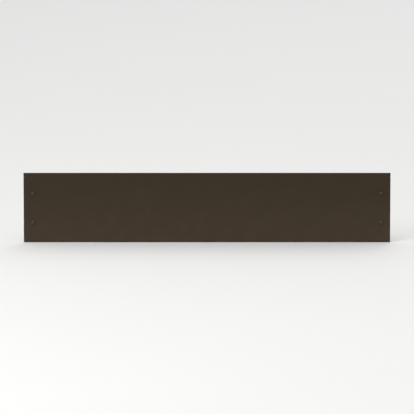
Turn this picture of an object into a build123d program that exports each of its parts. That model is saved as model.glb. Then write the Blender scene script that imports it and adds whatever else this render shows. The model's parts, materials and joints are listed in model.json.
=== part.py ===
from build123d import *
import os

# Kick plate for the foot of a boarded outdoor door leaf.
#
# A thin coated sheet covers the whole width of the leaf. Its top and side edges are folded back
# flat as hems, and its bottom edge is bent back under the leaf as a return. The hems stand on the
# leaf, and foam bonding tapes as thick as the hems fill the space behind the plate. Soft seals run
# inside the top and side hems, and the bottom is left open to drain. Two wood screws at each end
# pass through bonded washers and the plate into the leaf.
#
# Frame: +X along the plate, +Z up, -Y out of the door towards a person. The origin is on the
# leaf's face (Y = 0), at the middle of the plate's width and height. Sizes are in millimetres.

# Plate ---------------------------------------------------------------------------------------
plate_width = 825.0
plate_height = 158.0
sheet = 1.0  # thickness of the coated sheet

# Folds ---------------------------------------------------------------------------------------
hem_gap = 0.8  # space left inside a folded hem
hem_leg = 8.0  # straight part of a hem's folded-back leg
bend_inside = 1.0  # inside radius of the bend under the leaf
return_depth = 18.0  # reach of the return under the leaf, from the leaf's face
return_clip = 5.0  # 45 degree clip on the return's free corners
relief = 0.8  # slit at each end of a side hem, so that it folds clear of its neighbours

# Screws and washers --------------------------------------------------------------------------
screw_rise = 33.0  # height of the screws above and below the plate's middle
screw_length = 25.0  # under the head
thread_diameter = 4.2
neck_diameter = 3.0  # plain length from the head to the leaf's face, where the thread starts
point_length = 5.0
head_diameter = 8.0
head_rim = 0.9  # straight edge of the head under its dome
head_height = 2.6
drive_core = 3.0  # six-lobed drive recess: core circle, lobes and depth
drive_lobe = 0.95
drive_depth = 1.6
plate_hole = 5.0
washer_diameter = 10.0
washer_thickness = 0.8
washer_bore_clearance = 0.2  # around the thread, each side
pad_diameter = 9.2  # rubber pad under the washer
pad_thickness = 1.2
pad_bulge = 0.25  # how far the squeezed pad swells at its edge
pad_bore_clearance = 0.1  # around the thread, each side

# Seals and bonding tapes ---------------------------------------------------------------------
seal_width = 6.0
seal_gap = 1.0  # between a hem's leg and the seal inside it
seal_joint = 0.3  # between the top seal and the side seals
seal_foot = 6.0  # from the bend up to the lower end of a side seal
screw_to_seal = 2.1  # between a screw hole and the side seal
tape_width = 19.0
tape_to_seal = 4.0  # between the upper tape and the top seal
tape_to_screw = 16.0  # between a tape's end and the screw holes

# Places that follow from the sizes -----------------------------------------------------------
stand_off = hem_gap + sheet  # from the leaf's face to the back of the plate
back_y = -stand_off
front_y = back_y - sheet
face_mid_y = (front_y + back_y) / 2  # middle of the sheet, in the face and in a hem's leg
leg_mid_y = -sheet / 2
fold_outside = hem_gap / 2 + sheet  # outside radius of a folded hem
top_z = plate_height / 2
bottom_z = -plate_height / 2
bend_top_z = bottom_z + sheet + bend_inside
hem_foot_z = top_z - fold_outside - hem_leg  # lower edge of the top hem's leg
hem_foot_x = plate_width / 2 - fold_outside - hem_leg  # inner edge of a side hem's leg
side_hem_top_z = hem_foot_z - relief
side_hem_bottom_z = bend_top_z + 2 * relief

seal_outer_x = hem_foot_x - seal_gap
seal_inner_x = seal_outer_x - seal_width
top_seal_high_z = hem_foot_z - seal_gap
top_seal_low_z = top_seal_high_z - seal_width
screw_x = seal_inner_x - screw_to_seal - plate_hole / 2
tape_end_x = screw_x - plate_hole / 2 - tape_to_screw
tape_rise = top_seal_low_z - tape_to_seal - tape_width / 2

front_face = Plane.XZ.offset(-front_y)  # its normal points out of the door
back_face = Plane.XZ.offset(-back_y)


# Plate: one folded sheet ---------------------------------------------------------------------
with BuildPart() as face_plate:
    # the return, the face and the top hem, along the whole width
    with BuildSketch(Plane.YZ.offset(-plate_width / 2)):
        with BuildLine():
            rise = FilletPolyline(
                (return_depth, bottom_z + sheet / 2),
                (face_mid_y, bottom_z + sheet / 2),
                (face_mid_y, top_z - fold_outside),
                radius=bend_inside + sheet / 2,
            )
            fold = ThreePointArc(
                rise @ 1,
                ((face_mid_y + leg_mid_y) / 2, top_z - sheet / 2),
                (leg_mid_y, top_z - fold_outside),
            )
            Line(fold @ 1, (leg_mid_y, hem_foot_z))
        trace(line_width=sheet)
    extrude(amount=plate_width)

    # the face is cut back where the side hems fold
    with BuildSketch(back_face):
        slot_top_z = side_hem_top_z + relief
        slot_bottom_z = side_hem_bottom_z - relief
        with Locations((0, (slot_top_z + slot_bottom_z) / 2)):
            with GridLocations(2 * plate_width - 2 * fold_outside, 0, 2, 1):
                Rectangle(plate_width, slot_top_z - slot_bottom_z)
    extrude(amount=2 * sheet, both=True, mode=Mode.SUBTRACT)

    # side hems
    for side in (-1, 1):
        with BuildSketch(Plane.XY.offset(side_hem_bottom_z)):
            with BuildLine():
                fold_x = side * (plate_width / 2 - fold_outside)
                side_fold = ThreePointArc(
                    (fold_x, face_mid_y),
                    (side * (plate_width - sheet) / 2, (face_mid_y + leg_mid_y) / 2),
                    (fold_x, leg_mid_y),
                )
                Line(side_fold @ 1, (side * hem_foot_x, leg_mid_y))
            trace(line_width=sheet)
        extrude(amount=side_hem_top_z - side_hem_bottom_z)

    free_corners = face_plate.edges().filter_by(Axis.Z).group_by(Axis.Y)[-1]
    chamfer(free_corners, length=return_clip)

    with Locations(front_face):
        with GridLocations(2 * screw_x, 2 * screw_rise, 2, 2):
            Hole(radius=plate_hole / 2, depth=stand_off)


# Screw, washer and pad, each drawn once on its own axis with the plate's front face at Z = 0 ----
head_foot = pad_thickness + washer_thickness
tip = head_foot - screw_length
thread_top = front_y  # the leaf's face

with BuildPart() as screw:
    with BuildSketch(Plane.XZ):
        with BuildLine():
            stem = Polyline(
                (0, head_foot + head_height),
                (0, tip),
                (thread_diameter / 2, tip + point_length),
                (thread_diameter / 2, thread_top),
                (neck_diameter / 2, thread_top),
                (neck_diameter / 2, head_foot),
                (head_diameter / 2, head_foot),
                (head_diameter / 2, head_foot + head_rim),
            )
            TangentArc(stem @ 0, stem @ 1, tangent=(1, 0))
        make_face()
    revolve(axis=Axis.Z)
    with BuildSketch(Plane.XY.offset(head_foot + head_height)):
        Circle(drive_core / 2)
        with PolarLocations(drive_core / 2, 6):
            Circle(drive_lobe / 2)
    extrude(amount=-drive_depth, mode=Mode.SUBTRACT)

with BuildPart() as washer:
    with BuildSketch(Plane.XY.offset(pad_thickness)):
        Circle(washer_diameter / 2)
        Circle(thread_diameter / 2 + washer_bore_clearance, mode=Mode.SUBTRACT)
    extrude(amount=washer_thickness)
    rim = washer.edges().filter_by(GeomType.CIRCLE).group_by(Axis.Z)[-1].sort_by(SortBy.RADIUS)[-1]
    fillet(rim, radius=washer_thickness / 2)

with BuildPart() as pad:
    with BuildSketch(Plane.XZ):
        with BuildLine():
            bore_radius = thread_diameter / 2 + pad_bore_clearance
            edge = Polyline(
                (pad_diameter / 2, 0),
                (bore_radius, 0),
                (bore_radius, pad_thickness),
                (pad_diameter / 2, pad_thickness),
            )
            ThreePointArc(edge @ 1, (pad_diameter / 2 + pad_bulge, pad_thickness / 2), edge @ 0)
        make_face()
    revolve(axis=Axis.Z)


def at_screw_holes(piece):
    """Copies a piece drawn on its own axis to the plate's four screw holes."""
    with BuildPart() as group:
        with Locations(front_face):
            with GridLocations(2 * screw_x, 2 * screw_rise, 2, 2):
                add(piece.part)
    return group


face_screws = at_screw_holes(screw)
screw_washers = at_screw_holes(washer)
washer_pads = at_screw_holes(pad)


# Seals and tapes: flat strips that fill the space behind the plate -----------------------------
def strip(low_x, high_x, low_z, high_z):
    """A strip on the back of the plate, as thick as the space behind it."""
    with BuildPart() as made:
        with BuildSketch(back_face):
            with Locations(((low_x + high_x) / 2, (low_z + high_z) / 2)):
                Rectangle(high_x - low_x, high_z - low_z)
        extrude(amount=-stand_off)
    return made


side_seal_z = (bend_top_z + seal_foot, top_seal_low_z - seal_joint)
top_seal = strip(-seal_outer_x, seal_outer_x, top_seal_low_z, top_seal_high_z)
left_seal = strip(-seal_outer_x, -seal_inner_x, *side_seal_z)
right_seal = strip(seal_inner_x, seal_outer_x, *side_seal_z)

tapes = {
    f"{row}_bonding_tape": strip(-tape_end_x, tape_end_x, z - tape_width / 2, z + tape_width / 2)
    for row, z in (("upper", tape_rise), ("middle", 0.0), ("lower", -tape_rise))
}


# Files ---------------------------------------------------------------------------------------
pieces = {
    "face_plate": face_plate,
    "face_screws": face_screws,
    "screw_washers": screw_washers,
    "washer_pads": washer_pads,
    "top_seal": top_seal,
    "left_seal": left_seal,
    "right_seal": right_seal,
    **tapes,
}
os.makedirs("parts", exist_ok=True)
for label, piece in pieces.items():
    piece.part.label = label
    export_step(piece.part, f"parts/{label}.step")
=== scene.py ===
"""Looks of a dark brown kick plate for the foot of a boarded door.

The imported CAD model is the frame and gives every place. Each sub-assembly here is a class that builds
its meshes around that frame and dresses them: the folded plate, the screws with their washers and
pads, the bonding tapes, the seals, and the studio that shows them. Lengths are in metres.
"""

import cmath
import json
import logging
import math
from collections.abc import Iterable, Sequence
from dataclasses import dataclass, field
from enum import Enum
from typing import Any, ClassVar

import bpy
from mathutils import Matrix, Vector, noise


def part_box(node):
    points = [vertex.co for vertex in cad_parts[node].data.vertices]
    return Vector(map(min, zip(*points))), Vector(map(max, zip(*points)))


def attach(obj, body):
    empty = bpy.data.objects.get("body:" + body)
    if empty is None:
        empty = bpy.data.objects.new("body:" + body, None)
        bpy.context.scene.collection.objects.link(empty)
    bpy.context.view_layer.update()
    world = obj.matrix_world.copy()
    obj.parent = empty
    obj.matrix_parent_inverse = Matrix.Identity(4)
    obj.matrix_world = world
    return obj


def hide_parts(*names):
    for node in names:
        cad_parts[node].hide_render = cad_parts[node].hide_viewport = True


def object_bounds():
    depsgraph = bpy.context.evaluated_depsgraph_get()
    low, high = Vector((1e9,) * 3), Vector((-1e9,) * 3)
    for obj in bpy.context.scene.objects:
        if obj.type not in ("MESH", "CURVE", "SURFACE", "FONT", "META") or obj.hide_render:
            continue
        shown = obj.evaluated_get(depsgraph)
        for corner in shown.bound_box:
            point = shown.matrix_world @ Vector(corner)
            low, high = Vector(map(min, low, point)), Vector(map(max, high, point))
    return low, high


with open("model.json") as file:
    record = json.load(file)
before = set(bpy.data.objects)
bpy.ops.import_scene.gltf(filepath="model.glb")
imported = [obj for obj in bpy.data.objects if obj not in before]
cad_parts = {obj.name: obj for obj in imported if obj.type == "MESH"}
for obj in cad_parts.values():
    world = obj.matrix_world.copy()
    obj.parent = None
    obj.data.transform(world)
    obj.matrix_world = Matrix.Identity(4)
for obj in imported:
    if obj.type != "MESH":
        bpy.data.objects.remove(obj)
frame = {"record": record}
CAD_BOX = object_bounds()

MM = 0.001
TINY = 1e-6  # share of a step that rounding may add to a length
BODY = "root"
STRETCH = "stretch"  # point attribute: how far a fold has stretched the coating, from 0 to 1

Color = tuple[float, float, float]
Point = tuple[float, float, float]
Span = tuple[float, float]
Spot = tuple[float, float]  # a place on the plate's face: along it, and its height
Socket = bpy.types.NodeSocket
Feed = float | tuple[float, ...] | Socket
Wires = dict[str, Socket]
Look = tuple[Socket, Feed, Socket]
log = logging.getLogger("kick_plate")


# Meshes --------------------------------------------------------------------------------------


def spread(low: float, high: float, step: float) -> list[float]:
    """Evenly spaced values from low to high, ends included, at most a step apart."""
    count = max(1, math.ceil(abs(high - low) / step - TINY))
    return [*(low + (high - low) * i / count for i in range(count)), high]


def join_stretches(*stretches: Sequence[float]) -> list[float]:
    """Joins lists of rising values that share their end values, without doubling those."""
    return [*stretches[0], *(value for stretch in stretches[1:] for value in stretch[1:])]


def turns(count: int) -> list[float]:
    """Evenly spaced angles of a full turn, from 0 on."""
    return [2 * math.pi * i / count for i in range(count)]


def neighbours(ring: Sequence[Any]) -> Iterable[tuple[Any, Any]]:
    """Each member of a closed ring with the one after it."""
    return zip(ring, [*ring[1:], ring[0]])


@dataclass
class MeshDraft:
    """Points and faces of one mesh. Points that fall on each other are joined."""

    joint: float = 0.0005 * MM
    points: list[Point] = field(default_factory=list)
    stretch: list[float] = field(default_factory=list)
    faces: list[tuple[int, ...]] = field(default_factory=list)
    finishes: list[int] = field(default_factory=list)
    places: dict[tuple[int, ...], int] = field(default_factory=dict)

    def point(self, place: Sequence[float], stretch: float = 0.0) -> int:
        """Adds a point, or finds the one that is already there.

        Args:
            place: The point's coordinates.
            stretch: How far the coating is stretched there.

        Returns:
            The point's number.
        """
        key = tuple(round(value / self.joint) for value in place)
        if key not in self.places:
            self.places[key] = len(self.points)
            self.points.append(tuple(place))
            self.stretch.append(stretch)
        return self.places[key]

    def face(self, corners: Iterable[int], finish: int = 0) -> None:
        """Adds a face, and leaves out corners that have fallen together.

        Args:
            corners: Numbers of the face's points, in order.
            finish: Number of the material slot.
        """
        kept = tuple(dict.fromkeys(corners))
        if len(kept) > 2:
            self.faces.append(kept)
            self.finishes.append(finish)

    def rings(self, rings: Sequence[Sequence[int]], finish: int = 0) -> None:
        """Joins closed rings of points, each to the next.

        Args:
            rings: Rings of equally many point numbers.
            finish: Number of the material slot.
        """
        for ring, after in zip(rings, rings[1:]):
            for (first, second), (fourth, third) in zip(neighbours(ring), neighbours(after)):
                self.face((first, second, third, fourth), finish)

    def build(self, name: str, finishes: Sequence["Finish"]) -> bpy.types.Object:
        """Makes the object, with its normals pointing out and smooth shading.

        Args:
            name: The piece's name.
            finishes: The finish of each material slot.

        Returns:
            The new object, linked to the scene.
        """
        mesh = bpy.data.meshes.new(name)
        mesh.from_pydata(self.points, [], self.faces)
        mesh.polygons.foreach_set("material_index", self.finishes)
        mesh.polygons.foreach_set("use_smooth", [True] * len(self.faces))
        mesh.attributes.new(STRETCH, "FLOAT", "POINT").data.foreach_set("value", self.stretch)
        for finish in finishes:
            mesh.materials.append(finish.material())
        mesh.validate()
        piece = bpy.data.objects.new(name, mesh)
        bpy.context.scene.collection.objects.link(piece)
        bpy.context.view_layer.objects.active = piece
        bpy.ops.object.mode_set(mode="EDIT")
        bpy.ops.mesh.select_all(action="SELECT")
        bpy.ops.mesh.normals_make_consistent(inside=False)
        bpy.ops.object.mode_set(mode="OBJECT")
        return piece


def soften(piece: bpy.types.Object, width: float, angle: float = 40.0) -> None:
    """Rounds a piece's sharp edges and keeps its flat faces flat in the shading.

    Args:
        piece: The piece.
        width: Width of the rounding.
        angle: Edges sharper than this many degrees are rounded.
    """
    bevel = piece.modifiers.new("soft_edges", "BEVEL")
    bevel.width = width
    bevel.segments = 2
    bevel.limit_method = "ANGLE"
    bevel.angle_limit = math.radians(angle)
    bevel.use_clamp_overlap = True
    weighted = piece.modifiers.new("flat_faces", "WEIGHTED_NORMAL")
    weighted.keep_sharp = True


def settle(piece: bpy.types.Object, node: str) -> None:
    """Rides a finished piece on the plate's body and says what it stands for.

    Args:
        piece: The piece.
        node: The CAD node that it replaces.
    """
    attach(piece, BODY)
    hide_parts(node)
    log.info("%s: %d points, stands for %s", piece.name, len(piece.data.vertices), node)


# Shader nodes --------------------------------------------------------------------------------


class Mix(Enum):
    """Ways of mixing two colours."""

    BLEND = "MIX"
    MULTIPLY = "MULTIPLY"


@dataclass
class NodeBoard:
    """Places and links shader nodes in one node tree."""

    tree: bpy.types.NodeTree
    mix_share: ClassVar[int] = 0  # sockets of a Mix node that mixes colours
    mix_first: ClassVar[int] = 6
    mix_second: ClassVar[int] = 7
    mixed: ClassVar[int] = 2

    def add(self, kind: str, feeds: dict[Any, Feed], **settings: Any) -> bpy.types.Node:
        """Adds a node.

        Args:
            kind: Blender's name of the node's type.
            feeds: A value or a socket for each named or numbered input.
            settings: The node's own settings.

        Returns:
            The new node.
        """
        node = self.tree.nodes.new(kind)
        for key, value in settings.items():
            setattr(node, key, value)
        for key, value in feeds.items():
            self.feed(node.inputs[key], value)
        return node

    def feed(self, socket: Socket, value: Feed) -> None:
        """Links a socket, or sets its value.

        Args:
            socket: The input socket.
            value: Another node's output, or a plain value.
        """
        if isinstance(value, Socket):
            self.tree.links.new(value, socket)
        else:
            socket.default_value = value

    def math(self, operation: str, *feeds: Feed, clamp: bool = False) -> Socket:
        """Adds a Math node, whose result is kept from 0 to 1 if it is clamped."""
        settings = {"operation": operation, "use_clamp": clamp}
        return self.add("ShaderNodeMath", dict(enumerate(feeds)), **settings).outputs[0]

    def plus(self, base: Feed, value: Feed, share: Feed) -> Socket:
        """Adds a base value with a share of another value on top."""
        return self.math("MULTIPLY_ADD", value, share, base)

    def centred(self, value: Feed) -> Socket:
        """Adds a value from 0 to 1 that is moved to lie about 0."""
        return self.math("SUBTRACT", value, 0.5)

    def step(self, value: Feed, low: float, high: float) -> Socket:
        """Adds a smooth step, from 0 where the value is low to 1 where it is high."""
        feeds = {"Value": value, "From Min": low, "From Max": high}
        return self.add("ShaderNodeMapRange", feeds, interpolation_type="SMOOTHSTEP").outputs["Result"]

    def between(self, value: Feed, low: Feed, high: Feed) -> Socket:
        """Adds a value that goes from low to high as the given value goes from 0 to 1."""
        feeds = {"Value": value, "To Min": low, "To Max": high}
        return self.add("ShaderNodeMapRange", feeds).outputs["Result"]

    def mix(self, share: Feed, first: Feed, second: Feed, way: Mix = Mix.BLEND) -> Socket:
        """Adds a mix of two colours, where the share says how much of the second one shows."""
        feeds = {self.mix_share: share, self.mix_first: first, self.mix_second: second}
        return self.add("ShaderNodeMix", feeds, data_type="RGBA", blend_type=way.value).outputs[self.mixed]

    def inverse(self, size: Feed) -> Feed:
        """One over a size: a number's own inverse, or a node that works out a socket's."""
        return self.math("DIVIDE", 1.0, size) if isinstance(size, Socket) else 1.0 / size

    def noise(self, position: Feed, size: Feed, detail: float) -> Socket:
        """Adds fractal noise from 0 to 1, with the size of its largest features and its finer layers."""
        feeds = {"Vector": position, "Scale": self.inverse(size), "Detail": detail}
        return self.add("ShaderNodeTexNoise", feeds).outputs["Fac"]

    def scaled(self, position: Feed, factors: Point) -> Socket:
        """Adds a vector scaled by a factor along each axis."""
        return self.add("ShaderNodeVectorMath", {0: position, 1: factors}, operation="MULTIPLY").outputs[0]

    def toned(self, color: Feed, factor: Feed) -> Socket:
        """Adds a colour made lighter or darker by a factor."""
        return self.add("ShaderNodeVectorMath", {0: color, "Scale": factor}, operation="SCALE").outputs[0]


def rgba(color: Color) -> tuple[float, float, float, float]:
    """The colour with full opacity."""
    return (*color, 1.0)


@dataclass
class SurfaceEffect(NodeBoard):
    """The inside of a shader node group that several finishes share, built on its first use."""

    position: Socket
    given: Any
    name: ClassVar[str]
    sockets: ClassVar[dict[str, str]]
    results: ClassVar[dict[str, str]]

    @classmethod
    def shared(cls) -> bpy.types.NodeTree:
        """Finds the group's node tree, or builds it.

        Returns:
            The node tree.
        """
        if cls.name in bpy.data.node_groups:
            return bpy.data.node_groups[cls.name]
        tree = bpy.data.node_groups.new(cls.name, "ShaderNodeTree")
        for way, kinds in (("INPUT", {"Position": "Vector"} | cls.sockets), ("OUTPUT", cls.results)):
            for name, kind in kinds.items():
                tree.interface.new_socket(name, in_out=way, socket_type=f"NodeSocket{kind}")
        entry = tree.nodes.new("NodeGroupInput").outputs
        leave = tree.nodes.new("NodeGroupOutput").inputs
        inside = cls(tree, entry["Position"], entry)
        for name, socket in inside.wire().items():
            inside.feed(leave[name], socket)
        return tree

    def wire(self) -> Wires:
        """Wires the group's inside, and tells what feeds each output."""
        raise NotImplementedError

    @classmethod
    def place(cls, board: NodeBoard, position: Socket, **feeds: Feed) -> Any:
        """Places the group in a material.

        Args:
            board: The material's nodes.
            position: The place on the surface.
            feeds: A value or a socket for each other input, named without its capital letter.

        Returns:
            The placed group's outputs, by name.
        """
        node = board.tree.nodes.new("ShaderNodeGroup")
        node.node_tree = cls.shared()
        board.feed(node.inputs["Position"], position)
        for name, value in feeds.items():
            board.feed(node.inputs[name.capitalize()], value)
        return node.outputs


class OrangePeel(SurfaceEffect):
    """The slightly uneven surface of a baked coating, with a finer grain on it."""

    name = "orange_peel"
    sockets = {"Wave": "Float", "Grain": "Float"}
    results = {"Height": "Float"}
    grain_share: ClassVar[float] = 0.35

    def wire(self) -> Wires:
        """Adds fine grain to the long waves.

        Returns:
            What feeds each output.
        """
        wave = self.noise(self.position, self.given["Wave"], detail=1.0)
        grain = self.noise(self.position, self.given["Grain"], detail=2.0)
        return {"Height": self.plus(wave, grain, self.grain_share)}


class ToneDrift(SurfaceEffect):
    """A colour that drifts a little lighter and darker over the surface."""

    name = "tone_drift"
    sockets = {"Patch": "Float", "Change": "Float", "Base": "Color"}
    results = {"Color": "Color"}
    noise_gain: ClassVar[float] = 2.0

    def wire(self) -> Wires:
        """Scales the base colour by noise about 1.

        Returns:
            What feeds each output.
        """
        drift = self.noise(self.position, self.given["Patch"], detail=4.0)
        swing = self.math("MULTIPLY", self.centred(drift), self.given["Change"])
        return {"Color": self.toned(self.given["Base"], self.plus(1.0, swing, self.noise_gain))}


class DustAndBounceLight(SurfaceEffect):
    """Dust settling most near the ground and thinning upwards, which also paints floor bounce light low
    down.
    """

    name = "dust_and_painted_bounce"
    sockets = {"Ground": "Float", "Reach": "Float", "Amount": "Float"}
    results = {"Mask": "Float"}
    fading: ClassVar[float] = 1.6
    patch: ClassVar[float] = 28.0 * MM
    patch_film: ClassVar[Span] = (0.45, 1.25)
    speck: ClassVar[float] = 0.9 * MM
    speck_onset: ClassVar[Span] = (0.35, 0.75)
    speck_film: ClassVar[Span] = (0.75, 1.2)

    def wire(self) -> Wires:
        """Fades a patchy mask with height.

        Returns:
            What feeds each output.
        """
        parts = self.add("ShaderNodeSeparateXYZ", {0: self.position})
        height = self.math("SUBTRACT", parts.outputs["Z"], self.given["Ground"])
        rise = self.math("DIVIDE", height, self.given["Reach"], clamp=True)
        fade = self.math("POWER", self.math("SUBTRACT", 1.0, rise), self.fading)
        patches = self.between(self.noise(self.position, self.patch, detail=4.0), *self.patch_film)
        specks = self.step(self.noise(self.position, self.speck, detail=3.0), *self.speck_onset)
        film = self.math("MULTIPLY", patches, self.between(specks, *self.speck_film))
        film = self.math("MULTIPLY", fade, film)
        return {"Mask": self.math("MULTIPLY", film, self.given["Amount"], clamp=True)}


class RubWear(SurfaceEffect):
    """Coating that has worn or crazed where a fold or an edge has stretched it."""

    name = "rub_wear"
    sockets = {"Stretch": "Float", "Grain": "Float", "Amount": "Float"}
    results = {"Mask": "Float"}
    onset: ClassVar[Span] = (0.98, 1.16)

    def wire(self) -> Wires:
        """Breaks the stretched zones up with noise.

        Returns:
            What feeds each output.
        """
        broken = self.noise(self.position, self.given["Grain"], detail=6.0)
        level = self.plus(broken, self.given["Stretch"], self.given["Amount"])
        return {"Mask": self.step(level, *self.onset)}


class HairScratches(SurfaceEffect):
    """Sparse fine scratches in patches where the piece was handled, slightly bent."""

    name = "hair_scratches"
    sockets = {"Width": "Float", "Amount": "Float"}
    results = {"Mask": "Float"}
    slants: ClassVar[tuple[float, ...]] = (5.0, -31.0, 68.0, 24.0, -57.0)
    length_ratio: ClassVar[float] = 70.0
    onset: ClassVar[Span] = (0.745, 0.81)
    patch: ClassVar[float] = 55.0 * MM
    patch_onset: ClassVar[Span] = (0.5, 0.68)
    bend: ClassVar[float] = 3.0 * MM
    bend_length: ClassVar[float] = 30.0 * MM

    def wire(self) -> Wires:
        """Thresholds noise that is drawn out along a few slants.

        Returns:
            What feeds each output.
        """
        drift = self.centred(self.noise(self.position, self.bend_length, detail=0.0))
        shift = self.scaled(drift, (0.0, 0.0, self.bend))
        bent = self.add("ShaderNodeVectorMath", {0: self.position, 1: shift}, operation="ADD").outputs[0]
        found: Feed = 0.0
        for slant in self.slants:
            feeds = {"Vector": bent, "Angle": math.radians(slant)}
            turned = self.add("ShaderNodeVectorRotate", feeds, rotation_type="Y_AXIS").outputs[0]
            drawn = self.scaled(turned, (1.0 / self.length_ratio, 1.0, 1.0))
            line = self.step(self.noise(drawn, self.given["Width"], detail=0.0), *self.onset)
            found = self.math("MAXIMUM", found, line)
        handled = self.step(self.noise(self.position, self.patch, detail=3.0), *self.patch_onset)
        found = self.math("MULTIPLY", found, handled)
        return {"Mask": self.math("MULTIPLY", found, self.given["Amount"], clamp=True)}


class FoamCells(SurfaceEffect):
    """Small open cells of foam or cellular rubber, with painted shade in the pits."""

    name = "foam_cells"
    sockets = {"Cell": "Float"}
    results = {"Height": "Float", "PaintedShade": "Float"}
    pit_onset: ClassVar[Span] = (0.15, 0.62)
    # colour factor from pit bottom to wall: painted shade in the pits, painted light on the walls
    pit_painted_shade: ClassVar[Span] = (0.45, 1.15)
    uneven_share: ClassVar[float] = 0.4

    def wire(self) -> Wires:
        """Rounds Voronoi cells into pits with walls between them, and a colour factor that paints shade in
        the pits and light on the walls.

        Returns:
            What feeds each output.
        """
        uneven = self.noise(self.position, self.given["Cell"], detail=2.0)
        feeds = {"Vector": self.position, "Scale": self.inverse(self.given["Cell"])}
        cell = self.add("ShaderNodeTexVoronoi", feeds, feature="SMOOTH_F1").outputs["Distance"]
        pit = self.step(cell, *self.pit_onset)
        height = self.plus(pit, uneven, self.uneven_share)
        return {"Height": height, "PaintedShade": self.between(pit, *self.pit_painted_shade)}


class ZincFlakes(SurfaceEffect):
    """The mottled grey flakes of a zinc coating."""

    name = "zinc_flakes"
    sockets = {"Flake": "Float", "Base": "Color"}
    results = {"Color": "Color", "Dullness": "Float"}
    darkest: ClassVar[float] = 0.6
    flake_share: ClassVar[float] = 0.3
    bloom_share: ClassVar[float] = 0.35
    dullness: ClassVar[Span] = (0.28, 0.62)

    def wire(self) -> Wires:
        """Gives each Voronoi flake its own tone.

        Returns:
            What feeds each output.
        """
        feeds = {"Vector": self.position, "Scale": self.inverse(self.given["Flake"])}
        flake = self.add("ShaderNodeTexVoronoi", feeds).outputs["Color"]
        own = self.add("ShaderNodeSeparateXYZ", {0: flake}).outputs["X"]
        bloom = self.noise(self.position, self.given["Flake"], detail=4.0)
        tone = self.plus(self.plus(self.darkest, own, self.flake_share), bloom, self.bloom_share)
        color = self.toned(self.given["Base"], tone)
        return {"Color": color, "Dullness": self.between(bloom, *self.dullness)}


# Finishes ------------------------------------------------------------------------------------


@dataclass(frozen=True)
class Finish:
    """A surface finish: a Principled shader, and what varies over its surface."""

    name: str
    color: Color
    roughness: float = 0.5
    specular: float = 0.5
    metallic: float = 0.0
    bump: float = 0.2
    depth: float = 0.1 * MM
    drift: float = 0.0
    drift_patch: float = 60.0 * MM

    def material(self) -> bpy.types.Material:
        """Finds the finish's material, or makes it.

        Returns:
            The material.
        """
        if self.name in bpy.data.materials:
            return bpy.data.materials[self.name]
        made = bpy.data.materials.new(self.name)
        made.use_nodes = True
        made.diffuse_color = rgba(self.color)
        board = NodeBoard(made.node_tree)
        tone, dull, height = self.wire(board, board.add("ShaderNodeTexCoord", {}).outputs["Object"])
        relief = {"Strength": self.bump, "Distance": self.depth, "Height": height}
        feeds = {
            "Base Color": tone,
            "Roughness": dull,
            "Specular IOR Level": self.specular,
            "Metallic": self.metallic,
            "Normal": board.add("ShaderNodeBump", relief).outputs[0],
        }
        for name, value in feeds.items():
            board.feed(made.node_tree.nodes["Principled BSDF"].inputs[name], value)
        return made

    def tone(self, board: NodeBoard, position: Socket) -> Socket:
        """Adds the finish's colour, which drifts a little over the surface."""
        drift = {"patch": self.drift_patch, "change": self.drift, "base": rgba(self.color)}
        return ToneDrift.place(board, position, **drift)["Color"]

    def wire(self, board: NodeBoard, position: Socket) -> Look:
        """Wires what varies over the surface, and gives its colour, roughness and height."""
        raise NotImplementedError


@dataclass(frozen=True)
class BakedCoat(Finish):
    """A baked topcoat or enamel over zinc, with dust and painted bounce light near the ground, fine
    scratches and wear on its folds.
    """

    wave: float = 2.2 * MM
    grain: float = 0.28 * MM
    drift: float = 0.05
    drift_dulling: float = 0.12
    worn: Color = (0.16, 0.13, 0.1)
    wear: float = 0.4
    wear_grain: float = 0.7 * MM
    wear_dulling: float = 0.12
    wear_rise: float = -0.5
    dust_and_bounce: float = 0.0
    dust_and_bounce_color: Color = (0.3, 0.26, 0.21)
    dust_and_bounce_reach: float = 150.0 * MM
    dust_dulling: float = 0.9
    scratches: float = 0.0
    scratch_width: float = 0.35 * MM
    scratch_rise: float = -0.3

    def wire(self, board: NodeBoard, position: Socket) -> Look:
        """Lays drift, wear, dust and scratches over the coat.

        Args:
            board: The material's nodes.
            position: The place on the surface, in the frame.

        Returns:
            The surface's colour, roughness and height.
        """
        stretch = board.add("ShaderNodeAttribute", {}, attribute_name=STRETCH).outputs["Fac"]
        wear = {"stretch": stretch, "grain": self.wear_grain, "amount": self.wear}
        worn = RubWear.place(board, position, **wear)["Mask"]
        # pale film, strongest near the ground: partly dust, partly painted bounce light from the floor
        dust_and_bounce = {"ground": CAD_BOX[0].z, "reach": self.dust_and_bounce_reach, "amount": self.dust_and_bounce}
        dust_and_bounce_mask = DustAndBounceLight.place(board, position, **dust_and_bounce)["Mask"]
        scratches = {"width": self.scratch_width, "amount": self.scratches}
        scratched = HairScratches.place(board, position, **scratches)["Mask"]
        peel = OrangePeel.place(board, position, wave=self.wave, grain=self.grain)["Height"]
        tone = board.mix(worn, self.tone(board, position), rgba(self.worn))
        tone = board.mix(dust_and_bounce_mask, tone, rgba(self.dust_and_bounce_color))
        tone = board.mix(scratched, tone, rgba(self.worn))
        patchy = board.centred(board.noise(position, self.drift_patch, detail=5.0))
        dull = board.plus(self.roughness, dust_and_bounce_mask, self.dust_dulling)
        dull = board.plus(dull, worn, self.wear_dulling)
        dull = board.plus(dull, patchy, self.drift_dulling)
        height = board.plus(peel, worn, self.wear_rise)
        return tone, dull, board.plus(height, scratched, self.scratch_rise)


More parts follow.
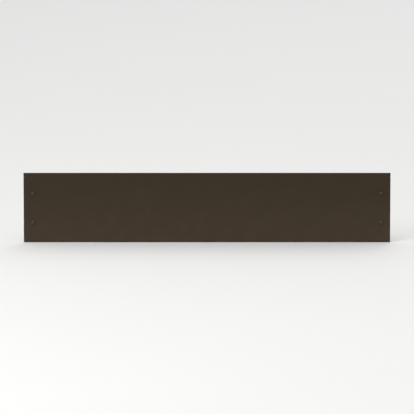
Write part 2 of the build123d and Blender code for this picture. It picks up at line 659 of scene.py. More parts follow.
@dataclass(frozen=True)
class BackCoat(Finish):
    """The thin primer that a coated sheet has on its back, streaked by the roller."""

    drift: float = 0.09
    drift_patch: float = 9.0 * MM
    streak_ratio: float = 14.0
    wave: float = 1.6 * MM
    grain: float = 0.4 * MM
    smudge: Color = (0.2, 0.19, 0.17)
    smudge_patch: float = 45.0 * MM
    smudge_onset: Span = (0.5, 0.85)
    smudge_share: float = 0.35
    smudge_dulling: float = -0.12
    scratches: float = 0.35
    scratch_width: float = 0.4 * MM

    def wire(self, board: NodeBoard, position: Socket) -> Look:
        """Streaks and smudges the primer.

        Args:
            board: The material's nodes.
            position: The place on the surface, in the frame.

        Returns:
            The surface's colour, roughness and height.
        """
        tone = self.tone(board, board.scaled(position, (1.0 / self.streak_ratio, 1.0, 1.0)))
        smudged = board.step(board.noise(position, self.smudge_patch, detail=5.0), *self.smudge_onset)
        scratches = {"width": self.scratch_width, "amount": self.scratches}
        scratched = HairScratches.place(board, position, **scratches)["Mask"]
        peel = OrangePeel.place(board, position, wave=self.wave, grain=self.grain)["Height"]
        tone = board.mix(board.math("MULTIPLY", smudged, self.smudge_share), tone, rgba(self.smudge))
        tone = board.mix(scratched, tone, rgba(self.smudge))
        return tone, board.plus(self.roughness, smudged, self.smudge_dulling), peel


@dataclass(frozen=True)
class ZincMetal(Finish):
    """Bare or zinc-plated steel, as on a cut edge or a screw's thread."""

    metallic: float = 1.0
    flake: float = 0.8 * MM
    grain_ratio: float = 0.2
    tarnish: Color = (0.16, 0.14, 0.12)
    tarnish_share: float = 0.5
    tarnish_ratio: float = 5.0
    tarnish_onset: Span = (0.52, 0.8)
    tarnish_dulling: float = 0.2

    def wire(self, board: NodeBoard, position: Socket) -> Look:
        """Mottles the zinc and dulls it in patches.

        Args:
            board: The material's nodes.
            position: The place on the surface, in the frame.

        Returns:
            The surface's colour, roughness and height.
        """
        flakes = ZincFlakes.place(board, position, flake=self.flake, base=rgba(self.color))
        patches = board.noise(position, self.tarnish_ratio * self.flake, detail=5.0)
        old = board.step(patches, *self.tarnish_onset)
        tarnished = board.math("MULTIPLY", old, self.tarnish_share)
        tone = board.mix(tarnished, flakes["Color"], rgba(self.tarnish))
        grain = self.grain_ratio * self.flake
        peel = OrangePeel.place(board, position, wave=self.flake, grain=grain)["Height"]
        return tone, board.plus(flakes["Dullness"], old, self.tarnish_dulling), peel


@dataclass(frozen=True)
class Rubber(Finish):
    """Black rubber: dense for the pads, cellular for the seals and the foam tapes."""

    cell: float = 0.35 * MM
    drift: float = 0.12
    drift_patch: float = 18.0 * MM
    bloom: Color = (0.06, 0.058, 0.055)
    bloom_share: float = 0.4
    bloom_patch: float = 11.0 * MM
    bloom_onset: Span = (0.48, 0.82)
    bloom_dulling: float = 0.1

    def wire(self, board: NodeBoard, position: Socket) -> Look:
        """Pits the surface with cells, paints shade into the pits, and lays a pale bloom on it.

        Args:
            board: The material's nodes.
            position: The place on the surface, in the frame.

        Returns:
            The surface's colour, roughness and height.
        """
        cells = FoamCells.place(board, position, cell=self.cell)
        # darkens the colour in the cells' pits and lightens their walls: painted shade and light
        painted_pit_shade = board.add("ShaderNodeCombineXYZ", {axis: cells["PaintedShade"] for axis in range(3)}).outputs[0]
        tone = board.mix(1.0, self.tone(board, position), painted_pit_shade, Mix.MULTIPLY)
        pale = board.step(board.noise(position, self.bloom_patch, detail=6.0), *self.bloom_onset)
        tone = board.mix(board.math("MULTIPLY", pale, self.bloom_share), tone, rgba(self.bloom))
        return tone, board.plus(self.roughness, pale, self.bloom_dulling), cells["Height"]


@dataclass(frozen=True)
class StudioPaper(Finish):
    """The pale paper that the plate stands on."""

    tooth: float = 3.0 * MM
    drift: float = 0.01
    drift_patch: float = 0.5

    def wire(self, board: NodeBoard, position: Socket) -> Look:
        """Gives the paper a faint tooth."""
        return self.tone(board, position), self.roughness, board.noise(position, self.tooth, detail=3.0)


TOPCOAT = BakedCoat(
    name="baked_topcoat",
    color=(0.0346, 0.0228, 0.0118),
    roughness=0.45,
    specular=0.16,
    bump=0.16,
    # the dust film also paints the floor's bounce light: the plate is lighter towards the bottom
    dust_and_bounce=0.12,
    dust_and_bounce_color=(0.24, 0.18, 0.13),
    scratches=0.1,
)
# the head's brown is lighter than the same paint on the plate and washers: a painted highlight
HEAD_ENAMEL_PAINTED_HIGHLIGHT = BakedCoat(
    name="head_enamel_painted_highlight",
    color=(0.043, 0.0295, 0.0168),
    roughness=0.32,
    specular=0.34,
    bump=0.25,
    wave=1.1 * MM,
    grain=0.16 * MM,
    worn=(0.3, 0.28, 0.25),
    wear=0.46,
    wear_grain=0.35 * MM,
    dust_and_bounce=0.12,
)
WASHER_ENAMEL = BakedCoat(
    name="baked_washer_enamel",
    color=(0.034, 0.0225, 0.0118),
    roughness=0.38,
    specular=0.2,
    bump=0.22,
    wave=1.4 * MM,
    grain=0.18 * MM,
    worn=(0.28, 0.26, 0.23),
    wear_grain=0.4 * MM,
    dust_and_bounce=0.12,
)
BACK_COAT = BackCoat(
    name="back_coat",
    color=(0.34, 0.335, 0.31),
    roughness=0.52,
    specular=0.4,
    bump=0.15,
)
CUT_EDGE = ZincMetal(
    name="cut_edge",
    color=(0.6, 0.59, 0.57),
    flake=0.6 * MM,
    bump=0.3,
)
ZINC_THREAD = ZincMetal(
    name="zinc_thread",
    color=(0.63, 0.6, 0.53),
    flake=1.0 * MM,
    bump=0.15,
    tarnish_share=0.3,
)
PAD_RUBBER = Rubber(
    name="dense_rubber",
    color=(0.012, 0.012, 0.013),
    roughness=0.62,
    specular=0.4,
    bump=0.1,
    cell=0.12 * MM,
    bloom_share=0.25,
)
SEAL_RUBBER = Rubber(
    name="cellular_rubber",
    color=(0.014, 0.014, 0.015),
    roughness=0.82,
    specular=0.3,
    bump=0.6,
    cell=0.32 * MM,
)
TAPE_FOAM = Rubber(
    name="acrylic_foam",
    color=(0.07, 0.072, 0.076),
    roughness=0.6,
    specular=0.45,
    bump=0.35,
    cell=0.28 * MM,
    bloom=(0.13, 0.13, 0.13),
    bloom_share=0.35,
)
PAPER = StudioPaper(
    name="studio_paper",
    color=(0.8, 0.79, 0.775),
    roughness=0.7,
    specular=0.2,
    bump=0.05,
)


# Plate ---------------------------------------------------------------------------------------


class Skin(Enum):
    """The plate's three kinds of surface, as material slots."""

    OUTER = 0
    INNER = 1
    CUT = 2


@dataclass(frozen=True)
class SheetPoint:
    """A point in the middle of the sheet, with the outer skin's direction there."""

    place: Vector
    out: Vector
    stretch: float = 0.0

    def moved(self, shift: Vector) -> "SheetPoint":
        """The same point of the sheet, at another place."""
        return SheetPoint(self.place + shift, self.out, self.stretch)


Quad = list[SheetPoint]


@dataclass
class FoldedPlate:
    """The coated sheet: face, top hem, side hems and return, folded from one blank."""

    node: ClassVar[str] = "face_plate"
    slot: ClassVar[str] = "brown_topcoat"
    sheet: float = 1.0 * MM
    hem_gap: float = 0.8 * MM
    hem_leg: float = 8.0 * MM
    bend_inside: float = 1.0 * MM
    relief: float = 0.8 * MM
    return_clip: float = 5.0 * MM
    hole_radius: float = 2.5 * MM
    cut_rounding: float = 0.09 * MM

    swell_mean: float = 0.08 * MM  # how far the face stands out between its edges
    swell_change: float = 0.048 * MM
    # radians per metre along the plate and upwards, and the phase
    swell_waves: tuple[tuple[float, ...], ...] = ((17.0, 0.0, 0.6), (9.0, 31.0, 0.4), (41.0, -12.0, 1.9))
    third_wave_share: float = 0.6
    stiff_edge: float = 25.0 * MM
    dimple: float = 0.06 * MM
    dimple_reach: float = 13.0 * MM
    bend_stretch: float = 0.7

    cell: float = 9.0 * MM
    clip_cell: float = 2.5 * MM
    return_cell: float = 4.0 * MM
    hem_cell: float = 2.7 * MM
    fold_steps: int = 14
    bend_steps: int = 10
    patch: float = 8.0 * MM
    patch_cells: int = 8
    patch_rings: int = 5
    patch_growth: float = 1.5

    def __post_init__(self) -> None:
        """Takes the overall sizes and the screws' places from the frame."""
        self.low, self.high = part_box(self.node)
        self.back_y = self.low.y + self.sheet
        self.face_y = self.low.y + self.sheet / 2
        self.leg_y = -self.sheet / 2
        self.fold_radius = (self.hem_gap + self.sheet) / 2
        fold_outside = self.hem_gap / 2 + self.sheet
        self.fold_x = self.high.x - fold_outside
        self.fold_z = self.high.z - fold_outside
        self.clip_x = self.high.x - self.return_clip - fold_outside
        self.clip_y = self.high.y - self.return_clip
        self.bend_z = self.low.z + self.sheet + self.bend_inside
        self.patch_cell = 2 * self.patch / self.patch_cells
        self.hem_foot_z = self.fold_z - self.hem_leg
        self.side_low_z = self.bend_z + 2 * self.relief
        self.side_high_z = self.hem_foot_z - self.relief
        pattern = next(mount for mount in frame["record"]["mounts"] if mount["kind"] == "bolt_pattern")
        self.screw_x = pattern["dims"]["spacing_x_mm"] / 2 * MM
        self.screw_z = pattern["dims"]["spacing_y_mm"] / 2 * MM

    def screw_places(self) -> list[Spot]:
        """The screws' places on the face, from the lower left one to the upper right one."""
        return [(x, z) for x in (-self.screw_x, self.screw_x) for z in (-self.screw_z, self.screw_z)]

    def face_shift(self, x: float, z: float) -> float:
        """How far the face stands out of its plane.

        Args:
            x: Place along the plate.
            z: Height.

        Returns:
            The shift along Y, which is negative outwards.
        """
        edge = min(self.fold_x - abs(x), self.fold_z - z, z - self.bend_z)
        free = max(0.0, min(1.0, edge / self.stiff_edge)) ** 2
        first, second, third = (math.sin(a * x + b * z + phase) for a, b, phase in self.swell_waves)
        swell = first * second + self.third_wave_share * third
        shift = -free * (self.swell_mean + self.swell_change * swell)
        for screw_x, screw_z in self.screw_places():
            reach = math.hypot(x - screw_x, z - screw_z) / self.dimple_reach
            if reach < 1.0:
                shift = shift * reach * reach + self.dimple * (1.0 - reach * reach) ** 2
        return shift

    def on_face(self, x: float, z: float) -> SheetPoint:
        """A point in the middle of the face's sheet, with its shift."""
        return SheetPoint(Vector((x, self.face_y + self.face_shift(x, z), z)), Vector((0, -1, 0)))

    def hem(self, towards: Vector, fold: float) -> list[SheetPoint]:
        """The sheet's middle line in a hem, from the start of its fold to the end of its leg.

        Args:
            towards: Direction from the face's middle to the hem's edge.
            fold: Distance of the fold's centre in that direction.

        Returns:
            The points, without the one that the face and the fold share.
        """
        centre = towards * fold + Vector((0, (self.face_y + self.leg_y) / 2, 0))
        line = []
        for angle in spread(0, math.pi, math.pi / self.fold_steps)[1:]:
            out = towards * math.sin(angle) - Vector((0, math.cos(angle), 0))
            line.append(SheetPoint(centre + out * self.fold_radius, out, math.sin(angle)))
        for reach in spread(fold, fold - self.hem_leg, self.hem_cell)[1:]:
            line.append(SheetPoint(towards * reach + Vector((0, self.leg_y, 0)), Vector((0, 1, 0))))
        return line

    def section(self) -> list[SheetPoint]:
        """The sheet's middle line from the return's free edge to the top hem's, at X = 0.

        Returns:
            Its points, in order.
        """
        line: list[SheetPoint] = []
        radius = self.bend_inside + self.sheet / 2
        bend_y = self.face_y + radius
        return_z = self.low.z + self.sheet / 2
        clipped = spread(self.high.y, self.clip_y, self.clip_cell)
        for y in join_stretches(clipped, spread(self.clip_y, bend_y, self.return_cell)):
            line.append(SheetPoint(Vector((0, y, return_z)), Vector((0, 0, -1))))
        for angle in spread(0, math.pi / 2, math.pi / 2 / self.bend_steps)[1:]:
            out = Vector((0, -math.sin(angle), -math.cos(angle)))
            centre = Vector((0, bend_y, return_z + radius))
            line.append(SheetPoint(centre + out * radius, out, self.bend_stretch * math.sin(2 * angle)))
        for z in self.face_rows()[1:]:
            line.append(SheetPoint(Vector((0, self.face_y, z)), Vector((0, -1, 0))))
        return line + self.hem(Vector((0, 0, 1)), self.fold_z)

    def face_rows(self) -> list[float]:
        """Heights of the face's rows, with close rows at the screws and at the relief slits.

        Returns:
            The heights, rising.
        """
        low, high = self.screw_z - self.patch, self.screw_z + self.patch
        return join_stretches(
            [self.bend_z, self.bend_z + self.relief, self.side_low_z],
            spread(self.side_low_z, -high, self.cell),
            spread(-high, -low, self.patch_cell),
            spread(-low, low, self.cell),
            spread(low, high, self.patch_cell),
            spread(high, self.side_high_z, self.cell),
            [self.side_high_z, self.hem_foot_z],
            spread(self.hem_foot_z, self.fold_z, self.hem_cell),
        )

    def columns(self) -> list[float]:
        """Places of the columns along the plate, with close columns at the screws.

        Returns:
            The places, rising.
        """
        low, high = self.screw_x - self.patch, self.screw_x + self.patch
        right = join_stretches(
            spread(0, low, self.cell),
            spread(low, high, self.patch_cell),
            spread(high, self.clip_x, self.cell),
            [self.clip_x, self.fold_x, self.high.x],
        )
        return [-x for x in reversed(right[1:])] + right

    def across(self, base: SheetPoint, x: float) -> SheetPoint:
        """Moves a point of the section to another place along the plate.

        Args:
            base: The section's point.
            x: Place along the plate.

        Returns:
            The moved point. On the return it is drawn in where the corners are clipped.
        """
        if base.out.y == -1:
            return self.on_face(x, base.place.z)
        cut = max(0.0, base.place.y - self.clip_y)
        beyond = max(0.0, abs(x) - self.clip_x)
        share = beyond / (self.high.x - self.clip_x)
        return base.moved(Vector((math.copysign(abs(x) - share * cut, x), 0, 0)))

    def near_screw(self, x: float, z: float) -> bool:
        """Whether a cell's middle lies in the patch round a screw hole."""
        return abs(abs(x) - self.screw_x) < self.patch and abs(abs(z) - self.screw_z) < self.patch

    def main_quads(self) -> list[Quad]:
        """Quads of the return, the face and the top hem.

        Returns:
            Four points for each quad.
        """
        quads = []
        line, columns = self.section(), self.columns()
        for low, high in zip(line, line[1:]):
            flat = low.out.y == -1 == high.out.y
            z = (low.place.z + high.place.z) / 2
            slotted = flat and self.bend_z + self.relief < z < self.hem_foot_z
            for left, right in zip(columns, columns[1:]):
                x = (left + right) / 2
                if slotted and abs(x) > self.fold_x or flat and self.near_screw(x, z):
                    continue
                corners = ((low, left), (low, right), (high, right), (high, left))
                quads.append([self.across(point, place) for point, place in corners])
        return quads

    def side_hem_quads(self, side: int) -> list[Quad]:
        """Quads of a side hem.

        Args:
            side: -1 for the left hem, 1 for the right one.

        Returns:
            Four points for each quad.
        """
        quads = []
        start = SheetPoint(Vector((side * self.fold_x, self.face_y, 0)), Vector((0, -1, 0)))
        line = [start, *self.hem(Vector((side, 0, 0)), self.fold_x)]
        rows = [z for z in self.face_rows() if self.side_low_z <= z <= self.side_high_z]
        for low, high in zip(rows, rows[1:]):
            for first, second in zip(line, line[1:]):
                corners = ((first, low), (second, low), (second, high), (first, high))
                quads.append([point.moved(Vector((0, 0, z))) for point, z in corners])
        return quads

    def hole_quads(self, x: float, z: float) -> list[Quad]:
        """Quads between a screw hole and the square patch of cells left out round it.

        Args:
            x: The hole's place along the plate.
            z: The hole's height.

        Returns:
            Four points for each quad.
        """
        side = spread(-self.patch, self.patch, self.patch_cell)[:-1]
        square = [complex(value, -self.patch) * 1j**corner for corner in range(4) for value in side]
        start = cmath.phase(square[0])
        circle = [cmath.rect(self.hole_radius, start + angle) for angle in turns(len(square))]
        rings = []
        for step in range(self.patch_rings + 1):
            share = (step / self.patch_rings) ** self.patch_growth
            places = [inner + (outer - inner) * share for inner, outer in zip(circle, square)]
            rings.append([self.on_face(x + place.real, z + place.imag) for place in places])
        quads = []
        for inner, outer in zip(rings, rings[1:]):
            for (first, second), (fourth, third) in zip(neighbours(inner), neighbours(outer)):
                quads.append([first, second, third, fourth])
        return quads

    def build(self) -> bpy.types.Object:
        """Thickens the middle surface to the sheet and joins its free edges.

        Returns:
            The plate.
        """
        half = self.sheet / 2
        draft = MeshDraft()
        quads = [*self.main_quads(), *self.side_hem_quads(-1), *self.side_hem_quads(1)]
        for x, z in self.screw_places():
            quads += self.hole_quads(x, z)
        rims: dict[frozenset[int], tuple[int, ...]] = {}
        for quad in quads:
            outer = [draft.point(p.place + p.out * half, p.stretch) for p in quad]
            inner = [draft.point(p.place - p.out * half) for p in quad]
            draft.face(outer, Skin.OUTER.value)
            draft.face(reversed(inner), Skin.INNER.value)
            for (first, second), (fourth, third) in zip(neighbours(outer), neighbours(inner)):
                edge = frozenset((first, second))
                if edge in rims:
                    del rims[edge]
                else:
                    rims[edge] = (first, second, third, fourth)
        for corners in rims.values():
            draft.face(corners, Skin.CUT.value)
        plate = draft.build("folded_plate", (TOPCOAT, BACK_COAT, CUT_EDGE))
        soften(plate, self.cut_rounding)
        settle(plate, self.node)
        return plate


# Screws --------------------------------------------------------------------------------------


@dataclass(frozen=True)
class Ring:
    """A ring of points round a screw's axis."""

    radius: float
    rise: float  # height above the plate's front
    lobe: float = 0.0  # how far its lobes reach out
    wear: float = 0.0  # how worn the coating is there
    wobble: float = 0.0  # how uneven its radius is


@dataclass
class WasheredScrew:
    """One wood screw with its washer and rubber pad, at one of the plate's holes."""

    place: Spot
    name: str
    turn: float
    sides: ClassVar[int] = 72
    lobes: ClassVar[int] = 6
    wobbles: ClassVar[int] = 3
    wobble_turn: ClassVar[float] = 7.0  # keeps the four pads from being alike
    zinc_slot: ClassVar[int] = 1  # material slot of what the enamel leaves bare
    corners: ClassVar[dict[str, float]] = {  # how far each of the four is turned, in radians
        "lower_left": 0.21,
        "upper_left": 1.02,
        "lower_right": 0.47,
        "upper_right": 0.78,
    }

    head_radius: float = 4.0 * MM
    head_rim: float = 0.9 * MM
    head_height: float = 2.6 * MM
    head_edge: Span = (0.06 * MM, 0.08 * MM)  # middle of the edge over the rim: inwards, upwards
    head_edge_drop: float = 0.1 * MM
    head_edge_wear: Span = (0.8, 0.4)
    head_foot: Span = (0.05 * MM, 0.04 * MM)  # middle of the edge under the rim
    head_foot_break: float = 0.16 * MM
    dome_steps: int = 8
    dome_shoulder: float = 0.25 * MM
    dome_wear: float = 0.15
    shoulder_wear: float = 0.75
    drive_mean: float = 1.7 * MM
    drive_lobe: float = 0.27 * MM
    drive_depth: float = 1.6 * MM
    drive_point: float = 0.3 * MM
    drive_cone: Span = (0.45, 0.16 * MM)  # share of the radius and depth where the point's cone ends
    drive_foot: Span = (0.1 * MM, 0.12 * MM)
    drive_lip: float = 0.12 * MM
    lip_share: float = 0.3
    lip_drops: Span = (0.14 * MM, 0.04 * MM)
    lip_wear: tuple[float, ...] = (0.9, 1.0, 0.8)
    neck_radius: float = 1.5 * MM
    neck_flare: float = 0.3 * MM

    thread_radius: float = 2.08 * MM
    core_radius: float = 1.42 * MM
    pitch: float = 1.9 * MM
    # place in a turn of the thread, and how high the ridge stands there
    ridge: tuple[Span, ...] = ((0.0, 0.0), (0.25, 0.0), (0.5, 0.0), (0.74, 1.0), (0.8, 1.0), (0.93, 0.12))
    ridge_hold: float = 1.25  # how much longer the ridge keeps its height than the core, on the point
    tip_radius: float = 0.06 * MM
    point_length: float = 5.0 * MM
    point_curve: float = 0.85

    washer_radius: float = 5.0 * MM
    washer_bore: float = 2.3 * MM
    washer_thickness: float = 0.8 * MM
    bore_break: float = 0.1 * MM
    foot_break: float = 0.05 * MM
    rounding_steps: int = 6
    rim_wear: float = 0.6
    flat_wear: float = 0.1
    pad_radius: float = 4.6 * MM
    pad_bulge: float = 0.25 * MM
    pad_bore: float = 2.2 * MM
    pad_unevenness: float = 0.25
    pad_steps: int = 10

    def __post_init__(self) -> None:
        """Finds the stack's heights above the plate's front and the screw's depth."""
        pad_low, pad_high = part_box("washer_pads")
        self.front_y = pad_high.y
        self.wobble_phase = self.wobble_turn * self.turn
        self.pad_top = self.front_y - pad_low.y
        self.washer_top = self.front_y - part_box("screw_washers")[0].y
        self.tip_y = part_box("face_screws")[1].y
        crown = self.head_height - self.head_rim
        self.sphere = (self.head_radius**2 + crown**2) / (2 * crown)

    def at(self, radius: float, angle: float, y: float) -> Point:
        """A place round the screw's axis, with its angle counted from the screw's turn."""
        turned = angle + self.turn
        return (self.place[0] + radius * math.cos(turned), y, self.place[1] + radius * math.sin(turned))

    def points(self, draft: MeshDraft, rings: Iterable[Ring]) -> list[list[int]]:
        """Adds rings of points round the screw's axis.

        Args:
            draft: The mesh.
            rings: The rings.

        Returns:
            The points' numbers, for each ring.
        """
        numbers = []
        for ring in rings:
            numbers.append([])
            for angle in turns(self.sides):
                reach = ring.radius + ring.lobe * math.cos(self.lobes * angle)
                reach += ring.wobble * math.sin(self.wobbles * angle + self.wobble_phase)
                place = self.at(reach, angle, self.front_y - ring.rise)
                numbers[-1].append(draft.point(place, ring.wear))
        return numbers

    def dome(self, radius: float) -> float:
        """Height of the head's dome above the plate's front, at a radius."""
        return self.washer_top + self.head_height - self.sphere + math.sqrt(self.sphere**2 - radius**2)

    def head(self) -> list[Ring]:
        """The head's outline, from the middle of its recess over the dome and the rim to the neck.

        Returns:
            Its rings, in order.
        """
        foot, edge = self.washer_top, self.head_radius
        floor, rim = foot + self.head_height - self.drive_depth, foot + self.head_rim
        mean, lobe, lip = self.drive_mean, self.drive_lobe, self.drive_mean + self.drive_lip
        broken = mean + self.lip_share * self.drive_lip
        outline = [
            Ring(0.0, floor - self.drive_point),
            Ring(self.drive_cone[0] * mean, floor - self.drive_cone[1]),
            Ring(mean - self.drive_foot[0], floor, lobe),
            Ring(mean, floor + self.drive_foot[1], lobe),
            Ring(mean, self.dome(mean) - self.lip_drops[0], lobe, self.lip_wear[0]),
            Ring(broken, self.dome(mean) - self.lip_drops[1], lobe, self.lip_wear[1]),
            Ring(lip, self.dome(lip), lobe, self.lip_wear[2]),
        ]
        for step in range(1, self.dome_steps + 1):
            share = step / self.dome_steps
            radius = lip + (edge - self.dome_shoulder - lip) * share
            worn = self.shoulder_wear if step == self.dome_steps else self.dome_wear
            outline.append(Ring(radius, self.dome(radius), lobe * (1 - share) ** 2, worn))
        return outline + [
            Ring(edge - self.head_edge[0], rim + self.head_edge[1], wear=self.head_edge_wear[0]),
            Ring(edge, rim - self.head_edge_drop, wear=self.head_edge_wear[1]),
            Ring(edge, foot + self.head_foot_break),
            Ring(edge - self.head_foot[0], foot + self.head_foot[1]),
            Ring(edge - self.head_foot_break, foot),
            Ring(self.neck_radius + self.neck_flare, foot),
            Ring(self.neck_radius, foot - self.neck_flare),
        ]

    def thread(self, draft: MeshDraft) -> None:
        """Adds the helical thread and the point, as a sheared grid that follows the helix.

        Args:
            draft: The screw's mesh.
        """
        per_turn = len(self.ridge)
        coils = math.ceil(self.tip_y / self.pitch) + 2
        grid = []
        for row in range(coils * per_turn + 1):
            phase, ridge = self.ridge[row % per_turn]
            grid.append([])
            for i, angle in enumerate(turns(self.sides)):
                along = (row // per_turn + phase - 1 + i / self.sides) * self.pitch
                along = max(0.0, min(self.tip_y, along))
                place = self.at(self.thread_reach(along, ridge), angle, along)
                grid[-1].append(draft.point(place))
        for row, (here, after) in enumerate(zip(grid, grid[1:])):
            for i in range(self.sides - 1):
                draft.face((here[i], here[i + 1], after[i + 1], after[i]), self.zinc_slot)
            if row + per_turn + 1 < len(grid):
                next_here, next_after = grid[row + per_turn], grid[row + per_turn + 1]
                draft.face((here[-1], next_here[0], next_after[0], after[-1]), self.zinc_slot)
        draft.face(grid[-1], self.zinc_slot)

    def thread_reach(self, along: float, ridge: float) -> float:
        """Radius of the threaded part.

        Args:
            along: Depth in the leaf.
            ridge: 0 at the thread's root and 1 at its crest.

        Returns:
            The radius.
        """
        taper = min(1.0, (self.tip_y - along) / self.point_length)
        start = min(1.0, along / self.pitch)
        core = self.neck_radius + (self.core_radius - self.neck_radius) * start
        core = self.tip_radius + (core - self.tip_radius) * taper**self.point_curve
        crest = (self.thread_radius - self.core_radius) * start * min(1.0, self.ridge_hold * taper)
        return core + ridge * crest

    def build_screw(self) -> bpy.types.Object:
        """Makes the screw.

        Returns:
            The screw.
        """
        draft = MeshDraft()
        head = self.points(draft, self.head())
        leaf = self.points(draft, [Ring(self.neck_radius, self.front_y)])
        draft.rings(head)
        draft.rings([head[-1], *leaf], self.zinc_slot)
        self.thread(draft)
        screw = draft.build(f"{self.name}_screw", (HEAD_ENAMEL_PAINTED_HIGHLIGHT, ZINC_THREAD))
        settle(screw, "face_screws")
        return screw

    def build_washer(self) -> bpy.types.Object:
        """Makes the washer, with a rounded upper rim.

        Returns:
            The washer.
        """
        low, high, bore, edge = self.pad_top, self.washer_top, self.washer_bore, self.washer_radius
        rounding = self.washer_thickness / 2
        outline = [(bore, low), (edge - self.foot_break, low), (edge, low + self.foot_break)]
        for angle in spread(0, math.pi / 2, math.pi / 2 / self.rounding_steps):
            inwards, down = rounding * (1 - math.cos(angle)), rounding * (1 - math.sin(angle))
            outline.append((edge - inwards, high - down))
        outline += [(bore + self.bore_break, high), (bore, high - self.bore_break)]
        rings = []
        for radius, rise in outline:
            wear = self.rim_wear if radius > edge - rounding else self.flat_wear
            rings.append(Ring(radius, rise, wear=wear))
        return self.build_bored("washer", rings, WASHER_ENAMEL, "screw_washers")

    def build_pad(self) -> bpy.types.Object:
        """Makes the rubber pad, squeezed out a little unevenly.

        Returns:
            The pad.
        """
        rings = [Ring(self.pad_bore, 0.0)]
        for step in spread(-1, 1, 2 / self.pad_steps):
            bulge = self.pad_bulge * math.cos(step * math.pi / 2)
            rise = self.pad_top * (step + 1) / 2
            rings.append(Ring(self.pad_radius + bulge, rise, wobble=self.pad_unevenness * bulge))
        rings.append(Ring(self.pad_bore, self.pad_top))
        return self.build_bored("pad", rings, PAD_RUBBER, "washer_pads")

    def build_bored(
        self, kind: str, outline: list[Ring], finish: Finish, node: str
    ) -> bpy.types.Object:
        """Makes a piece that has a bore for the screw.

        Args:
            kind: Last word of the piece's name.
            outline: Rings round its whole section, from the bore's foot outwards and back.
            finish: Its finish.
            node: The CAD node that it stands for.

        Returns:
            The piece.
        """
        draft = MeshDraft()
        rings = self.points(draft, outline)
        draft.rings([*rings, rings[0]])
        piece = draft.build(f"{self.name}_{kind}", (finish,))
        settle(piece, node)
        return piece


# Strips --------------------------------------------------------------------------------------


@dataclass
class PressedStrip:
    """A soft strip pressed between the plate and the leaf."""

    node: str
    plate: FoldedPlate
    slot: ClassVar[str]
    finish: ClassVar[Finish]
    corner: ClassVar[float]
    corner_share: ClassVar[float] = 0.3  # of the corner's rounding, just inside it
    corner_depths: ClassVar[Span] = (0.08, 0.92)
    middle_depths: ClassVar[tuple[float, ...]] = (0.25, 0.5, 0.75)
    bulge: ClassVar[float]
    wander: ClassVar[float]
    wander_length: ClassVar[float] = 18.0 * MM
    wander_seed: ClassVar[float] = 0.7
    slant: ClassVar[float]
    slant_reach: ClassVar[float] = 12.0 * MM
    step: float = 4.0 * MM
    edge_rounding: float = 0.12 * MM
    edge_angle: float = 50.0

    def side_shape(self) -> list[Span]:
        """One side of the section, from the leaf to the plate.

        Returns:
            Depth from 0 at the leaf to 1 at the plate, and how far the side stands in.
        """
        low, high = self.corner_depths
        rounding = {0.0: self.corner, low: self.corner_share * self.corner}
        rounding |= {depth: 0.0 for depth in self.middle_depths}
        rounding |= {high: self.corner_share * self.corner, 1.0: self.corner}
        return [(depth, inset - self.bulge * 4 * depth * (1 - depth)) for depth, inset in rounding.items()]

    def section(self, along: float, near: float, far: float) -> list[Span]:
        """One section of the strip, as if it were cut off square.

        Args:
            along: Place along the strip.
            near: The strip's lower or left side.
            far: The strip's upper or right side.

        Returns:
            Each point's place across the strip, and its depth from 0 at the leaf to 1 at the plate.
        """
        points = []
        for side, inwards in ((near, 1), (far, -1)):
            seed = Vector((along / self.wander_length, side / MM, self.wander_seed))
            drift = abs(noise.noise(seed)) * self.wander
            shape = [(side + inwards * (inset + drift), depth) for depth, inset in self.side_shape()]
            points += shape[::inwards]
        return points

    def build(self) -> bpy.types.Object:
        """Makes the strip along its longer side.

        Returns:
            The strip.
        """
        low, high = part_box(self.node)
        upright = high.z - low.z > high.x - low.x
        (start, end), (near, far) = (low.x, high.x), (low.z, high.z)
        if upright:
            (start, end), (near, far) = (near, far), (start, end)
        draft = MeshDraft()
        rings = []
        for along in spread(start, end, self.step):
            skew = self.slant * max(0.0, 1.0 - min(along - start, end - along) / self.slant_reach)
            rings.append([])
            for across, depth in self.section(along, near, far):
                slanted = along + skew * (across - (near + far) / 2)
                x, z = (across, slanted) if upright else (slanted, across)
                y = depth * (self.plate.back_y + self.plate.face_shift(x, z))
                rings[-1].append(draft.point((x, y, z)))
        draft.rings(rings)
        draft.face(reversed(rings[0]))
        draft.face(rings[-1])
        strip = draft.build(self.node + "_strip", (self.finish,))
        soften(strip, self.edge_rounding, self.edge_angle)
        settle(strip, self.node)
        return strip


class BondingTape(PressedStrip):
    """Double-sided acrylic foam tape, which holds the plate's face to the leaf."""

    slot = "tape_foam"
    finish = TAPE_FOAM
    corner = 0.12 * MM
    bulge = 0.05 * MM
    wander = 0.35 * MM
    slant = 0.035


class CellularSeal(PressedStrip):
    """Cellular rubber strip that keeps rain out of the space behind the plate."""

    slot = "seal_rubber"
    finish = SEAL_RUBBER
    corner = 0.2 * MM
    bulge = 0.22 * MM
    wander = 0.2 * MM
    slant = 0.06


# Studio --------------------------------------------------------------------------------------


def hang(data: bpy.types.ID, place: Vector, aim: Vector) -> bpy.types.Object:
    """Hangs a light or a camera.

    Args:
        data: The light or the camera.
        place: Where it hangs.
        aim: What it points at.

    Returns:
        Its object, linked to the scene.
    """
    hung = bpy.data.objects.new(data.name, data)
    hung.location = place
    hung.rotation_mode = "QUATERNION"
    hung.rotation_quaternion = (aim - place).to_track_quat("-Z", "Y")
    bpy.context.scene.collection.objects.link(hung)
    return hung


@dataclass(frozen=True)
class Softbox:
    """A square area light that points at the plate."""

    name: str
    place: Point
    size: float
    power: float
    color: Color

    def build(self, aim: Vector) -> None:
        """Hangs the light.

        Args:
            aim: What it points at.
        """
        lamp = bpy.data.lights.new(self.name, "AREA")
        lamp.shape = "SQUARE"
        lamp.size = self.size
        lamp.energy = self.power
        lamp.color = self.color
        hang(lamp, Vector(self.place), aim)


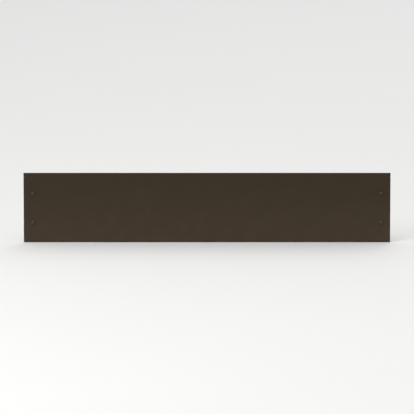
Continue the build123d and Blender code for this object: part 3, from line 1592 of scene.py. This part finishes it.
@dataclass
class Studio:
    """Pale floor, pale surroundings, soft lights and the camera."""

    floor_radius: float = 40.0
    floor_sides: int = 96
    horizon: Color = (0.69, 0.69, 0.69)
    overhead: Color = (0.76, 0.77, 0.78)
    horizon_blend: float = 0.25
    lens: float = 400.0
    sight: float = 400.0
    elevation: float = 9.0
    fill: float = 0.885
    lights: tuple[Softbox, ...] = (
        Softbox("side_softbox", (-2.1, -2.4, 1.6), 1.2, 24.0, (1.0, 0.99, 0.97)),
        Softbox("overhead_softbox", (-0.8, -2.4, 6.0), 4.5, 110.0, (1.0, 0.997, 0.99)),
        Softbox("rear_softbox", (1.6, 5.4, 5.0), 3.6, 60.0, (0.97, 0.985, 1.0)),
    )

    def build(self) -> None:
        """Sets up the floor, the surroundings, the lights and the camera."""
        low, high = CAD_BOX
        aim = (low + high) / 2
        self.build_floor(low.z)
        self.build_surround()
        for light in self.lights:
            light.build(aim)
        self.build_camera(aim, high.x - low.x)
        bpy.context.scene.view_settings.view_transform = "Standard"
        log.info("studio: %d lights", len(self.lights))

    def build_floor(self, height: float) -> None:
        """Lays the round floor.

        Args:
            height: Its height.
        """
        draft = MeshDraft()
        centre = draft.point((0, 0, height))
        rim = []
        for angle in turns(self.floor_sides):
            x, y = self.floor_radius * math.cos(angle), self.floor_radius * math.sin(angle)
            rim.append(draft.point((x, y, height)))
        for corner, after in neighbours(rim):
            draft.face((centre, corner, after))
        draft.build("studio_floor", (PAPER,))

    def build_surround(self) -> None:
        """Lights the surroundings: as bright as the floor at the horizon, and brighter overhead."""
        world = bpy.data.worlds.new("studio_surround")
        world.use_nodes = True
        board = NodeBoard(world.node_tree)
        direction = board.add("ShaderNodeTexCoord", {}).outputs["Generated"]
        rise = board.add("ShaderNodeSeparateXYZ", {0: direction}).outputs["Z"]
        share = board.step(rise, 0.0, self.horizon_blend)
        glow = board.mix(share, rgba(self.horizon), rgba(self.overhead))
        board.feed(world.node_tree.nodes["Background"].inputs["Color"], glow)
        bpy.context.scene.world = world

    def build_camera(self, aim: Vector, width: float) -> None:
        """Sets the camera in front of the plate, a little above it.

        Args:
            aim: What it looks at.
            width: The plate's width, which nearly fills the view.
        """
        data = bpy.data.cameras.new("studio_camera")
        data.lens = self.lens
        data.clip_end = self.sight
        distance = width / self.fill * data.lens / data.sensor_width
        tilt = math.radians(self.elevation)
        away = Vector((0, -math.cos(tilt), math.sin(tilt)))
        bpy.context.scene.camera = hang(data, aim + away * distance, aim)


def main() -> None:
    """Builds every sub-assembly in the order in which it is put together."""
    logging.basicConfig(level=logging.INFO, format="%(name)s: %(message)s")
    plate = FoldedPlate()
    plate.build()
    for node in ("upper_bonding_tape", "middle_bonding_tape", "lower_bonding_tape"):
        BondingTape(node, plate).build()
    for node in ("top_seal", "left_seal", "right_seal"):
        CellularSeal(node, plate).build()
    for place, (name, turn) in zip(plate.screw_places(), WasheredScrew.corners.items()):
        screw = WasheredScrew(place, name, turn)
        screw.build_pad()
        screw.build_washer()
        screw.build_screw()
    Studio().build()


if __name__ == "__main__":
    main()
